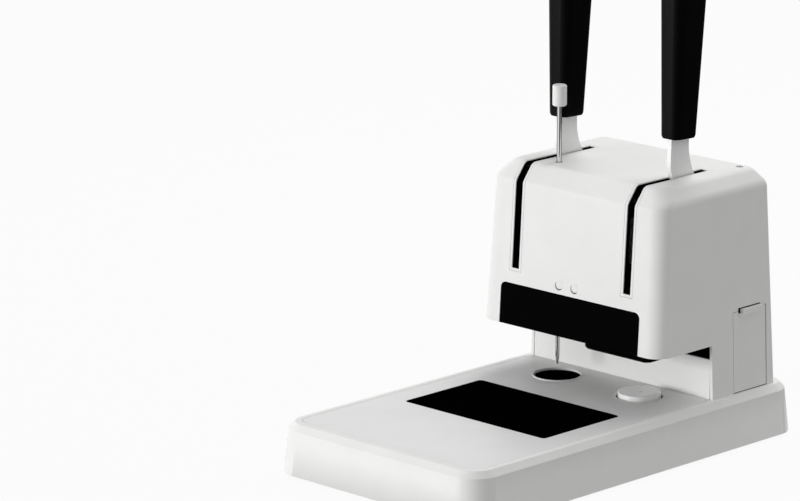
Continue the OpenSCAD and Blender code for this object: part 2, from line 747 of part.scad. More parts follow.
module switch_rocker() {
    w = switch_w / 2 - 2.9;
    color([0.6, 0.08, 0.06]) {
        side_profile(switch_x - w, switch_x + w) translate([switch_y - 5, switch_z]) polygon([
            [-3, -4], [2, -9.2], [6, -9.8], [6.6, 0], [8, 9], [2, 9.2], [-3, 4]]);
        translate([switch_x - w - 1.9, switch_y - 5, switch_z]) rod_x(1.45, 2 * w + 3.8);
    }
}

// Racks and toothed sectors
drill_pitch_r = tooth_m * drill_teeth / 2;
rivet_pitch_r = tooth_m * rivet_teeth / 2;
drill_stroke = drill_pitch_r * lever_swing * PI / 180;
rivet_stroke = rivet_pitch_r * lever_swing * PI / 180;
echo(drill_pitch_r = drill_pitch_r, drill_stroke = drill_stroke);
echo(rivet_pitch_r = rivet_pitch_r, rivet_stroke = rivet_stroke);
pressure = 20;
backlash = 0.15;
sector_t = 8;
function inv(a) = tan(a) * 180 / PI - a;
function half_tooth(r, pr, n) =
    90 / n - backlash / pr * 180 / PI + inv(pressure) - inv(acos(min(1, pr * cos(pressure) / r)));
function polar(r, phi) = [-r * cos(phi), r * sin(phi)];
module sector_shape(pr, n) {
    root_r = pr - 1.25 * tooth_m;
    tip_r = pr + tooth_m;
    step = 360 / n;
    last = ceil(lever_swing / step) + 1;
    radii = [for (k = [0:4]) root_r - 0.1 + (tip_r - root_r + 0.1) * k / 4];
    circle(12);
    polygon(concat([[4, -4]], [for (k = [-2:0.25:last + 1]) polar(root_r, k * step)], [[4, 4]]));
    for (k = [-2:last]) polygon(concat(
        [for (r = radii) polar(r, (k + 0.5) * step - half_tooth(r, pr, n))],
        [for (j = [4:-1:0]) polar(radii[j], (k + 0.5) * step + half_tooth(radii[j], pr, n))]));
}
module rack_shape(pr, back_y, stroke) {
    pitch = PI * tooth_m;
    y0 = pivot_y - pr;
    root = y0 - 1.25 * tooth_m;
    z0 = pivot_z - 8;
    z1 = pivot_z + stroke + 6;
    half = pitch / 4 - backlash;
    lean = tan(pressure);
    polygon([[back_y, z0], [root, z0], [root, z1], [back_y, z1]]);
    for (k = [-1:floor((stroke + 2) / pitch)]) let (z = pivot_z + k * pitch) polygon([
        [root - 0.1, z - half - 1.25 * tooth_m * lean], [y0 + tooth_m * 0.95, z - half + tooth_m * 0.95 * lean],
        [y0 + tooth_m * 0.95, z + half - tooth_m * 0.95 * lean], [root - 0.1, z + half + 1.25 * tooth_m * lean]]);
}

// Levers
arm_y = column_y - 2.85;
grip_z0 = top_z + grip_rise;
tang_len = 70;
tang_w = 18;
function arm_mid(z) = arm_y + (z - top_z - 23) * tan(grip_lean);
function front_sweep(z) = 4.6 * pow(max(0, top_z + 15 - z) / 16, 2);
function rear_sweep(z) = 9.5 * pow(max(0, top_z + 31 - z) / 31, 2);
module arm_shape() {
    steps = [0:6];
    z_top = grip_z0 + 3;
    polygon(concat(
        [[pivot_y - arm_hub_r * 0.97, pivot_z + 3]],
        [for (k = steps) let (z = top_z - 2 + k * 3) [arm_mid(z) - arm_w / 2 + front_sweep(z), z]],
        [[arm_mid(z_top) - arm_w / 2, z_top], [arm_mid(z_top) + arm_w / 2, z_top]],
        [for (k = [6:-1:0]) let (z = top_z - 2 + k * 5.5) [arm_mid(z) + arm_w / 2 + rear_sweep(z), z]],
        [[pivot_y + arm_hub_r * 0.97, pivot_z + 3]]));
    tang_shape(0);
    translate([pivot_y, pivot_z]) circle(arm_hub_r);
}
module tang_shape(g) {
    z0 = grip_z0;
    z1 = grip_z0 + tang_len + g;
    polygon([[arm_mid(z0) - tang_w / 2 - g, z0], [arm_mid(z0) + tang_w / 2 + g, z0],
        [arm_mid(z1) + tang_w / 2 + g, z1], [arm_mid(z1) - tang_w / 2 - g, z1]]);
}
module lever(side, pitch_r, teeth) {
    x0 = side * lever_x - arm_t / 2;
    in0 = side > 0 ? x0 - sector_t : x0 + arm_t;
    difference() {
        union() {
            color([0.92, 0.92, 0.92]) side_profile(x0, x0 + arm_t) arm_shape();
            color([0.55, 0.56, 0.58]) side_profile(in0, in0 + sector_t)
                translate([pivot_y, pivot_z]) sector_shape(pitch_r, teeth);
        }
        translate([-far, pivot_y, pivot_z]) rod_x(axle_r + run_gap, 2 * far);
        translate([x0 - 1, arm_mid(grip_z0 + 24), grip_z0 + 24]) rod_x(3.2, arm_t + 2);
        translate([x0 - 1, arm_mid(grip_z0 + 52), grip_z0 + 52]) rod_x(3.2, arm_t + 2);
    }
}
module drill_lever() { lever(-1, drill_pitch_r, drill_teeth); }
module rivet_lever() { lever(1, rivet_pitch_r, rivet_teeth); }
// One slice of a grip: share of its length, depth, width
function grip_slice(k) = k < 0.9
    ? [grip_d0 + (grip_d1 - grip_d0) * k / 0.9, grip_w0 + (grip_w1 - grip_w0) * k / 0.9]
    : let (s = sqrt(1 - pow((k - 0.9) / 0.1, 2)) * 0.45 + 0.55) [grip_d1 * s, grip_w1 * s];
module grip(side) {
    x = side * lever_x;
    zc = grip_z0 + 0.3;
    color([0.05, 0.05, 0.05]) difference() {
        translate([x, arm_mid(zc), zc]) rotate([-grip_lean, 0, 0]) hull() {
            for (k = [0, 0.015, 0.25, 0.5, 0.75, 0.9, 0.93, 0.96, 0.98, 1]) let (s = grip_slice(k), e = k == 0 ? 2 : 0)
                translate([0, 0, k * grip_len])
                    linear_extrude(sliver) round_rect(s[1] - e, s[0] - e, min(s[1] * 0.36, s[1] / 2 - 1) - e / 2, $fn = 32);
        }
        side_profile(x - arm_t / 2 - 0.1, x + arm_t / 2 + 0.1) union() {
            tang_shape(0.1);
            translate([arm_mid(grip_z0) - arm_w / 2 - 0.3, grip_z0 - 5]) square([arm_w + 0.6, 8.3]);
        }
    }
}
module drill_grip() { grip(-1); }
module rivet_grip() { grip(1); }

// Drill carriage
block_d = 26;
nut_h = 16;
collar_h = 5;
nut_z0 = guard_top + drill_stroke + 1;
collar_z0 = nut_z0 + nut_h;
block_z0 = collar_z0 + collar_h + 0.4;
block_h = 45;
block_z1 = block_z0 + block_h;
pulley_h = 9.6;
motor_x = -drill_off + 28.4;
motor_y = station_y + 43.1;
motor_h = 57;
mount_t = 5;
bush_r = 8;
rack_in = 9;
drill_rack_x1 = -lever_x + arm_t / 2 + 1.1 + rack_in;
rivet_rack_x0 = lever_x - arm_t / 2 - 1.1 - rack_in;
spring_r = 4.2;
spring_hole_r = 6;
spring_floor = 4;
drill_spring_x = (drill_rods[0] + drill_rods[1]) / 2;
rivet_spring_x = (rivet_rods[0] + rivet_rods[1]) / 2;
spring_y = station_y - 7.4;
module drill_carriage() {
    color([0.66, 0.67, 0.69]) difference() {
        union() {
            span([drill_rack_x1, station_y - block_d / 2, block_z0], [drill_rods[1] + 8, station_y + block_d / 2, block_z1]);
            translate([motor_x - motor_r - 2, station_y + block_d / 2 - 1, block_z1 - mount_t])
                cube([2 * motor_r + 4, motor_y + motor_r - station_y - block_d / 2 + 3, mount_t]);
        }
        translate([-drill_off, station_y, 0]) cylinder(h = far, r = bush_r);
        for (x = drill_rods) translate([x, station_y, 0]) cylinder(h = far, r = rod_r2 + run_gap);
        translate([drill_spring_x, spring_y, block_z0 + spring_floor]) cylinder(h = far, r = spring_hole_r);
        translate([motor_x, motor_y, 0]) cylinder(h = far, r = 8);
        for (a = [45:90:315]) translate([motor_x + 14 * cos(a), motor_y + 14 * sin(a), 0]) cylinder(h = far, r = 1.7);
    }
}
module drill_rack() {
    color([0.5, 0.51, 0.53]) side_profile(drill_rack_x1 - rack_in, drill_rack_x1)
        rack_shape(drill_pitch_r, station_y + 5, drill_stroke);
}
module drill_motor() {
    color([0.25, 0.26, 0.28]) translate([motor_x, motor_y, block_z1 - mount_t - motor_h]) difference() {
        union() {
            cylinder(h = motor_h - 4, r = motor_r);
            translate([0, 0, motor_h - 4]) cylinder(h = 4, r = motor_r - 2);
            translate([0, 0, motor_h]) cylinder(h = 3, r = 7.9);
            translate([0, 0, -4]) cylinder(h = 4, r = 8);
        }
        translate([0, 0, 6]) cylinder(h = far, r = 2.5 + run_gap);
        for (k = [0:5]) rotate(k * 60) span([12, -3, -5], [17, 3, 4]);
    }
}
pulley_z = block_z1 + 1.2;
module motor_shaft() {
    z0 = block_z1 - mount_t - motor_h + 8;
    color("silver") translate([motor_x, motor_y, z0]) cylinder(h = pulley_z + pulley_h - z0, r = 2.5);
}
// Pulley with two flanges and a flat belt seat
module pulley(r, bore) {
    difference() {
        union() {
            cylinder(h = pulley_h, r = r);
            for (z = [0, pulley_h - 1.2]) translate([0, 0, z]) cylinder(h = 1.2, r = r + 1.5);
        }
        translate([0, 0, -1]) cylinder(h = 20, r = bore);
    }
}
module motor_pulley() {
    color([0.7, 0.7, 0.68]) translate([motor_x, motor_y, pulley_z]) pulley(motor_pulley_r, 2.5);
}
module spindle_pulley() {
    color([0.7, 0.7, 0.68]) translate([-drill_off, station_y, pulley_z]) pulley(spindle_pulley_r, spindle_r);
}
belt_dx = motor_x + drill_off;
belt_dy = motor_y - station_y;
belt_len = sqrt(belt_dx * belt_dx + belt_dy * belt_dy);
belt_dir = atan2(belt_dy, belt_dx);
module belt_outline(g) {
    r0 = spindle_pulley_r + g;
    r1 = motor_pulley_r + g;
    b = acos((r0 - r1) / belt_len);
    steps = 24;
    translate([-drill_off, station_y]) rotate(belt_dir) polygon(concat(
        [for (k = [0:steps]) let (a = b + (360 - 2 * b) * k / steps) [r0 * cos(a), r0 * sin(a)]],
        [for (k = [0:steps]) let (a = -b + 2 * b * k / steps) [belt_len + r1 * cos(a), r1 * sin(a)]]));
}
module drive_belt() {
    color([0.06, 0.06, 0.06]) translate([0, 0, pulley_z + 1.8]) linear_extrude(pulley_h - 3.6)
        difference() {
            belt_outline(belt_t + 0.15);
            belt_outline(0.15);
        }
}
module spindle_bushes() {
    color([0.72, 0.55, 0.3]) for (z = [block_z0, block_z1 - 10])
        translate([-drill_off, station_y, z]) tube(bush_r - 0.02, spindle_r + run_gap, 10);
}
spindle_top = pulley_z + pulley_h + 1;
module spindle() {
    z0 = nut_z0 + 10;
    color("silver") translate([-drill_off, station_y, 0]) difference() {
        union() {
            translate([0, 0, z0]) cylinder(h = spindle_top - z0, r = spindle_r);
            translate([0, 0, collar_z0]) cylinder(h = collar_h, r = 8);
        }
        translate([0, 0, z0 - 1]) cylinder(h = far, r = 2.6);
    }
}
module chuck_nut() {
    color([0.45, 0.46, 0.48]) translate([-drill_off, station_y, nut_z0]) difference() {
        union() {
            cylinder(h = 3, r1 = 6, r2 = 8);
            translate([0, 0, 3]) cylinder(h = nut_h - 3, r = 8);
        }
        translate([0, 0, -1]) cylinder(h = nut_h, r = drill_r);
        translate([0, 0, 10]) cylinder(h = nut_h, r = spindle_r);
        for (s = [-1, 1]) span([-9, s > 0 ? 6.4 : -9, 5], [9, s > 0 ? 9 : -6.4, 12]);
    }
}
drill_tip_z = well_z + pad_t + 0.3 + drill_stroke;
module hollow_drill() {
    color([0.75, 0.76, 0.78]) translate([-drill_off, station_y, drill_tip_z]) difference() {
        union() {
            cylinder(h = 5, r1 = drill_r - 0.55, r2 = drill_r);
            translate([0, 0, 5]) cylinder(h = nut_z0 + 10 - drill_tip_z - 5, r = drill_r);
        }
        translate([0, 0, -1]) cylinder(h = far, r = drill_bore_r);
    }
}
module clearing_rod() {
    z0 = surf_z + rod_tip_rise;
    color("silver") translate([-drill_off, station_y, 0]) {
        translate([0, 0, z0]) cylinder(h = rod_taper, r1 = 0.7, r2 = rod_low_r);
        translate([0, 0, z0 + rod_taper]) cylinder(h = shoulder_z + 0.1 - z0 - rod_taper, r = rod_low_r);
        translate([0, 0, shoulder_z + 0.1]) cylinder(h = top_z + cap_rise + cap_h - 6 - shoulder_z, r = rod_r);
    }
}
module rod_cap() {
    color([0.92, 0.92, 0.91]) translate([-drill_off, station_y, top_z + cap_rise]) difference() {
        union() {
            cylinder(h = 1, r1 = cap_r - 1, r2 = cap_r);
            translate([0, 0, 1]) cylinder(h = cap_h - 2, r = cap_r);
            translate([0, 0, cap_h - 1]) cylinder(h = 1, r1 = cap_r, r2 = cap_r - 1);
        }
        translate([0, 0, -1]) cylinder(h = cap_h - 4.9, r = rod_r);
    }
}

// Rivet carriage
ram_r = 7;
die_z0 = seat_top + 0.6 + rivet_stroke;
module rivet_carriage() {
    color([0.66, 0.67, 0.69]) difference() {
        span([rivet_rods[0] - 8, station_y - block_d / 2, block_z0], [rivet_off + 10.6, station_y + block_d / 2, block_z1]);
        translate([rivet_off, station_y, 0]) cylinder(h = far, r = ram_r);
        for (x = rivet_rods) translate([x, station_y, 0]) cylinder(h = far, r = rod_r2 + run_gap);
        translate([rivet_spring_x, spring_y, block_z0 + spring_floor]) cylinder(h = far, r = spring_hole_r);
    }
}
module rivet_rack() {
    color([0.5, 0.51, 0.53]) side_profile(rivet_rack_x0, rivet_rack_x0 + rack_in)
        rack_shape(rivet_pitch_r, station_y + block_d / 2, rivet_stroke);
}
module upper_die() {
    color([0.72, 0.6, 0.35]) translate([rivet_off, station_y, 0]) difference() {
        union() {
            translate([0, 0, die_z0]) cylinder(h = 8, r = die_r);
            translate([0, 0, die_z0 + 8]) cylinder(h = 20, r = die_hole_r - 1.4);
            translate([0, 0, die_z0 + 28]) cylinder(h = block_z1 + 4 - die_z0 - 28, r = ram_r);
        }
        translate([0, 0, die_z0 - 1]) cylinder(h = 5, r = 2.3 + move_gap);
    }
}
module return_spring(x) {
    color("silver") translate([x, spring_y, 0])
        coil(spring_r, 1.2, block_z0 + spring_floor, top_plate_z, 14);
}
module drill_spring() { return_spring(drill_spring_x); }
module rivet_spring() { return_spring(rivet_spring_x); }

// Chip drawer
tray_h = 58;
tray_wall = 1.6;
echo(drawer_held = drawer_len - drawer_travel);
module chip_drawer() {
    x0 = side_x(door_z1) - drawer_len;
    y0 = door_y0 + 1;
    y1 = door_y1 - 1;
    z0 = surf_z + 0.3;
    color([0.93, 0.93, 0.92]) {
        wall_patch(house_wall - 0.6) span([80, door_y0, z0], [far, door_y1, door_z1]);
        difference() {
            intersection() {
                house_form(1.2);
                span([x0, y0, z0], [far, y1, z0 + tray_h]);
            }
            span([x0 + tray_wall, y0 + tray_wall, z0 + tray_wall],
                [side_x(surf_z) - house_wall - 2, y1 - tray_wall, far]);
        }
        translate([side_x(door_z1), (door_y0 + door_y1) / 2, door_z1 - 1]) span(
            [-house_wall, -tab_w / 2, -3], [tab_out, tab_w / 2, 3]);
    }
}

base_shell();
work_plate();
bottom_plate();
feet();
base_screws();
instruction_panel();
drill_pad();
drill_pad_cup();
anvil_beam();
seat_guide();
rivet_seat();
seat_spring();
lower_die();
house_cover();
rear_cover();
rear_screws();
column_front();
front_window();
left_slot_trim();
right_slot_trim();
indicator_lenses();
underside_plate();
rivet_guard();
storage_tube();
left_frame();
right_frame();
left_cheek();
right_cheek();
front_tie();
rear_tie();
top_plate();
lever_axles();
guide_rods();
rod_bush();
mains_inlet();
switch_frame();
switch_rocker();
drill_carriage();
drill_rack();
drill_motor();
spindle_bushes();
drive_belt();
motor_shaft();
motor_pulley();
spindle();
spindle_pulley();
chuck_nut();
hollow_drill();
clearing_rod();
rod_cap();
drill_lever();
drill_grip();
rivet_lever();
rivet_grip();
rivet_carriage();
rivet_rack();
upper_die();
chip_drawer();
drill_spring();
rivet_spring();
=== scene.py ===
import json
import math

import bmesh
import bpy
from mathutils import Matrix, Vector

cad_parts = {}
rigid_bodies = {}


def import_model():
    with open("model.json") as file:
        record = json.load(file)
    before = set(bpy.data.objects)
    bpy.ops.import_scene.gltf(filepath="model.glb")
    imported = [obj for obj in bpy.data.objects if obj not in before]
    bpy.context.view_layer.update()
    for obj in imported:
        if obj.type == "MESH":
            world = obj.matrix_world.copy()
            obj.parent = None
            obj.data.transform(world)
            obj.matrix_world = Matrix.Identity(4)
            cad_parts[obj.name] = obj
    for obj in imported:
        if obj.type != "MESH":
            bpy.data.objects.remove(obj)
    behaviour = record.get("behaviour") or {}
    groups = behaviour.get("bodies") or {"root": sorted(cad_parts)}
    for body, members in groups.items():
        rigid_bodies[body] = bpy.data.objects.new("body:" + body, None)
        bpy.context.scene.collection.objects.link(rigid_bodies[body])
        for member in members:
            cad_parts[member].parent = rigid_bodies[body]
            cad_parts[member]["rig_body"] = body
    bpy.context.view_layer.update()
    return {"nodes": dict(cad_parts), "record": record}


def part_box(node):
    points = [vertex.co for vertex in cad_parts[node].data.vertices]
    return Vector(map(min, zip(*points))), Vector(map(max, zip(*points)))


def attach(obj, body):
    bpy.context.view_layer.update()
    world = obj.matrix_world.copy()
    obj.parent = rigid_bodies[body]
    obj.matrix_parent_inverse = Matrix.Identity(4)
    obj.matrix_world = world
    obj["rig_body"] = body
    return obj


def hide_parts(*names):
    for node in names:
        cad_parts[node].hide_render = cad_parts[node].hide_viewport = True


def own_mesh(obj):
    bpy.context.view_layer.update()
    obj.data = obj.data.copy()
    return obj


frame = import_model()
NODES = frame["nodes"]
MM = 0.001


# ---- Places and sizes, from the frame ----

def low(node):
    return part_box(node)[0]


def high(node):
    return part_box(node)[1]


SURF_Z = high("work_plate").z
HEAD_Z = low("front_window").z
TOP_Z = high("house_cover").z
HALF_W = high("house_cover").x
HEAD_Y = low("house_cover").y
REAR_Y = high("house_cover").y
COLUMN_Y = low("column_front").y - 1 * MM
LEVER_X = (low("rivet_lever").x + high("rivet_lever").x + 8 * MM) / 2

# The housing: leans of its walls, the facet over its front, its corners and its top edges
SIDE_LEAN = 0.036
FRONT_LEAN = 0.06
FACET_H = 17.3 * MM
FACET_D = 13.5 * MM
BEND_Z = TOP_Z - FACET_H
BEND_RADIUS = 9 * MM
FRONT_CORNER = 17 * MM
REAR_CORNER = 6 * MM
TOP_CHAMFER = 13.4 * MM
TOP_BEND = 11 * MM
CHAMFER_PER_INSET = 0.586
WALL = 3 * MM

# What is cut into the housing
SLOT_W = 9.4 * MM
SLOT_RIM = 2.6 * MM
SLOT_RIM_DEPTH = 1.1 * MM
SLOT_DEPTH = 5 * MM
SLOT_SEAM = 0.35 * MM
SLOT_LOW_Z = HEAD_Z + 57 * MM
SLOT_REAR_Y = COLUMN_Y + 37.6 * MM
WINDOW_CORNER = 6 * MM
WINDOW_SEAM = 0.25 * MM
COVER_SEAM = 0.35 * MM
ROD_HOLE_R = 3.8 * MM
TUBE_HOLE_R = 4 * MM
LENS_X = (-14 * MM, 6 * MM)
LENS_HOLE_SHIFT = 0.7 * MM
LENS_HOLE_Z = HEAD_Z + 50.1 * MM
LENS_HOLE_R = 4.8 * MM
DOOR_Y0 = COLUMN_Y + 31.8 * MM
DOOR_Y1 = COLUMN_Y + 79.8 * MM
DOOR_TOP = SURF_Z + 80.6 * MM
DOOR_FRONT_GAP = 0.5 * MM
DOOR_REAR_GAP = 1.1 * MM
DOOR_TAB_IN = 8.5 * MM
NOTCH_IN = 7.5 * MM
NOTCH_DEPTH = 4 * MM
VENTS = 10

LIP_RISE = 0.9 * MM

# How far tools reach: past the whole machine, or past one face
CUT = 0.4
MARGIN = 0.02


# ---- Camera ----

CAMERA_AZIMUTH = math.radians(44.4594)
CAMERA_ELEVATION = math.radians(14.086)
CAMERA_DISTANCE = 4.591464
CAMERA_TARGET = Vector((-0.2392305, 0.050181, 0.150))
CAMERA_LENS = 205.92  # millimetres, on a 36 mm sensor


def make_camera():
    """The photograph's viewpoint, solved from the photograph's edges."""
    back = Vector((math.sin(CAMERA_AZIMUTH) * math.cos(CAMERA_ELEVATION),
                   -math.cos(CAMERA_AZIMUTH) * math.cos(CAMERA_ELEVATION),
                   math.sin(CAMERA_ELEVATION)))
    data = bpy.data.cameras.new("camera")
    data.lens = CAMERA_LENS
    data.sensor_width = 36
    data.clip_start, data.clip_end = 0.1, 60
    camera = bpy.data.objects.new("camera", data)
    camera.location = CAMERA_TARGET + back * CAMERA_DISTANCE
    camera.rotation_euler = (-back).to_track_quat("-Z", "Y").to_euler()
    bpy.context.scene.collection.objects.link(camera)
    bpy.context.scene.camera = camera


# ---- Light ----

LAMPS = (  # name, place, side in metres, watts
    ("key", (-2.2, -4.0, 0.4), 1.6, 165),
    ("top", (-0.35, 1.25, 2.45), 1.6, 36),
    ("fill", (2.0, -0.3, 2.8), 2.0, 7),
)
LAMP_AIM = (0, 0.05, 0.15)
AMBIENT = 0.36
FLOOR_HALF = 8.0
FLOOR_PAPER = 0.62
FLOOR_SHOWN = 0.94  # share of plain white in what the camera sees of the floor

# Painted light on the floor, seen only by mirrors: it glows white that way and fades to dark over
# this span of its cosine
PAINTED_LIGHT_WAY = (-0.8, -0.6, 0)
PAINTED_LIGHT_FADE = (-0.1, 0.5)
PAINTED_LIGHT_DARK = 0.04


def make_lamps():
    for name, place, side, watts in LAMPS:
        data = bpy.data.lights.new(name, "AREA")
        data.shape = "SQUARE"
        data.size = side
        data.energy = watts
        lamp = bpy.data.objects.new(name, data)
        lamp.location = place
        lamp.rotation_euler = (Vector(LAMP_AIM) - Vector(place)).to_track_quat("-Z", "Y").to_euler()
        bpy.context.scene.collection.objects.link(lamp)


def seen_directly(nodes, links):
    """A socket that is 1 for rays from the camera, a mirror or glass, and 0 for diffuse light."""
    path = nodes.new("ShaderNodeLightPath")
    total = path.outputs["Is Camera Ray"]
    for kind in ("Is Glossy Ray", "Is Transmission Ray"):
        both = nodes.new("ShaderNodeMath")
        both.operation = "MAXIMUM"
        links.new(total, both.inputs[0])
        links.new(path.outputs[kind], both.inputs[1])
        total = both.outputs[0]
    return total


def make_world():
    """A white studio: plain white where it is seen, and dimmer as the soft light on the rest."""
    world = bpy.data.worlds.new("studio")
    bpy.context.scene.world = world
    world.use_nodes = True
    nodes, links = world.node_tree.nodes, world.node_tree.links
    nodes.clear()
    mix = nodes.new("ShaderNodeMixShader")
    links.new(seen_directly(nodes, links), mix.inputs[0])
    for socket, strength in ((1, AMBIENT), (2, 1)):
        background = nodes.new("ShaderNodeBackground")
        background.inputs["Color"].default_value = (1, 1, 1, 1)
        background.inputs["Strength"].default_value = strength
        links.new(background.outputs[0], mix.inputs[socket])
    out = nodes.new("ShaderNodeOutputWorld")
    links.new(mix.outputs[0], out.inputs[0])


def make_floor():
    """Pale paper floor. For mirrors it glows with painted light: bright towards the key light and
    dark away from it.
    """
    mesh = bpy.data.meshes.new("floor")
    corners = [(x * FLOOR_HALF, y * FLOOR_HALF, 0) for x, y in ((-1, -1), (1, -1), (1, 1), (-1, 1))]
    mesh.from_pydata(corners, [], [(0, 1, 2, 3)])
    floor = bpy.data.objects.new("floor", mesh)
    bpy.context.scene.collection.objects.link(floor)
    mat = bpy.data.materials.new("floor_paper")
    mat.use_nodes = True
    nodes, links = mat.node_tree.nodes, mat.node_tree.links
    nodes.clear()
    paper = nodes.new("ShaderNodeBsdfDiffuse")
    paper.inputs["Color"].default_value = (FLOOR_PAPER, FLOOR_PAPER, FLOOR_PAPER, 1)
    path = nodes.new("ShaderNodeLightPath")
    place = nodes.new("ShaderNodeNewGeometry")
    aim = nodes.new("ShaderNodeVectorMath")
    aim.operation = "NORMALIZE"
    side = nodes.new("ShaderNodeVectorMath")
    side.operation = "DOT_PRODUCT"
    side.inputs[1].default_value = PAINTED_LIGHT_WAY
    # Painted light: a glow that runs from bright to dark across the floor, for glossy rays only
    painted_light = nodes.new("ShaderNodeMapRange")
    painted_light.inputs["From Min"].default_value, painted_light.inputs["From Max"].default_value = PAINTED_LIGHT_FADE
    painted_light.inputs["To Min"].default_value = PAINTED_LIGHT_DARK
    painted_light.inputs["To Max"].default_value = 1
    links.new(place.outputs["Position"], aim.inputs[0])
    links.new(aim.outputs["Vector"], side.inputs[0])
    links.new(side.outputs["Value"], painted_light.inputs["Value"])
    tone = nodes.new("ShaderNodeMix")
    tone.inputs["A"].default_value = 1
    links.new(path.outputs["Is Glossy Ray"], tone.inputs["Factor"])
    links.new(painted_light.outputs[0], tone.inputs["B"])
    white = nodes.new("ShaderNodeEmission")
    white.inputs["Color"].default_value = (1, 1, 1, 1)
    links.new(tone.outputs["Result"], white.inputs["Strength"])
    share = nodes.new("ShaderNodeMath")
    share.operation = "MULTIPLY"
    share.inputs[1].default_value = FLOOR_SHOWN
    mix = nodes.new("ShaderNodeMixShader")
    out = nodes.new("ShaderNodeOutputMaterial")
    links.new(seen_directly(nodes, links), share.inputs[0])
    links.new(share.outputs[0], mix.inputs[0])
    links.new(paper.outputs[0], mix.inputs[1])
    links.new(white.outputs[0], mix.inputs[2])
    links.new(mix.outputs[0], out.inputs[0])
    mesh.materials.append(mat)


# ---- Materials ----

METAL = {"Metallic": 1.0}
FINISHES = {
    "white_plastic": dict(colour=(0.86, 0.86, 0.85), roughness=0.5, tint=0.012, grain=0.25,
                          uniform={"Specular IOR Level": 0.25}),
    # gloss_white: a glossier finish, and lighter than white_plastic partly as painted light that
    # offsets the shade under the head
    "gloss_white": dict(colour=(0.94, 0.94, 0.935), roughness=0.12, tint=0.01, rough_range=0.03,
                        uniform={"Coat Weight": 0.6, "Coat Roughness": 0.05}),
    "plate_grey": dict(colour=(0.81, 0.812, 0.807), roughness=0.38, tint=0.015, grain=0.2,
                       uniform={"Specular IOR Level": 0.4}),
    "steel": dict(colour=(0.55, 0.56, 0.57), roughness=0.4, tint=0.06, tint_scale=60, grain=0.3,
                  grain_scale=500, uniform=METAL),
    "bright_steel": dict(colour=(0.62, 0.63, 0.64), roughness=0.16, tint=0.04, grain=0.12,
                         grain_scale=900, stretch=(1, 1, 0.05), uniform=METAL),
    "chrome": dict(colour=(0.75, 0.76, 0.77), roughness=0.1, tint=0.05, tint_scale=90,
                   rough_range=0.03, stretch=(1, 1, 0.1), uniform=METAL),
    "aluminium": dict(colour=(0.72, 0.72, 0.73), roughness=0.35, tint=0.05, grain=0.25,
                      stretch=(1, 8, 1), uniform=METAL),
    "brass": dict(colour=(0.72, 0.56, 0.27), roughness=0.3, tint=0.06, stretch=(1, 1, 12),
                  uniform=METAL),
    "white_metal": dict(colour=(0.97, 0.97, 0.965), roughness=0.35, tint=0.012, grain=0.2,
                        grain_scale=900),
    "dark_steel": dict(colour=(0.006, 0.006, 0.0065), roughness=0.5, tint=0.1, grain=0.5,
                       grain_scale=700, uniform={"Specular IOR Level": 0.08}),
    "motor_grey": dict(colour=(0.1, 0.1, 0.11), roughness=0.45, tint=0.08, grain=0.3),
    "black_rubber": dict(colour=(0.025, 0.025, 0.025), roughness=0.8, tint=0.15, grain=0.8,
                         grain_scale=1200),
    "black_gloss": dict(colour=(0.0008, 0.0008, 0.0009), roughness=0.1, tint=0.1,
                        rough_range=0.03, uniform={"Specular IOR Level": 0.01}),
    "panel_film": dict(colour=(0.0006, 0.0006, 0.0007), roughness=0.22, tint=0.1,
                       rough_range=0.05, grain=0.15, uniform={"Specular IOR Level": 0.0}),
    "grip_black": dict(colour=(0.0012, 0.0012, 0.0012), roughness=0.34, tint=0.15, grain=0.45,
                       grain_scale=1500, uniform={"Specular IOR Level": 0.05}),
    "black_plastic": dict(colour=(0.005, 0.005, 0.005), roughness=0.38, tint=0.15, grain=0.45,
                          grain_scale=1500, uniform={"Specular IOR Level": 0.12}),
    # void_black: painted shade, for gaps and openings that are dark only from shade
    "void_black": dict(colour=(0.0008, 0.0008, 0.0008), roughness=0.9, tint=0.1,
                       uniform={"Specular IOR Level": 0.0}),
    "red_plastic": dict(colour=(0.5, 0.03, 0.02), roughness=0.25, tint=0.05),
    "lens": dict(colour=(0.86, 0.865, 0.85), roughness=0.3, tint=0.015,
                 uniform={"Specular IOR Level": 0.3}),
}

# Painted reflection on the chromed rod: its edges darkened in its base colour, as a round bar's
# edges reflect dark surroundings
EDGE_BLEND = 0.45
EDGE_BANDS = (0.15, 0.5)
EDGE_PAINTED_SHADE = (0.05, 0.05, 0.055, 1)


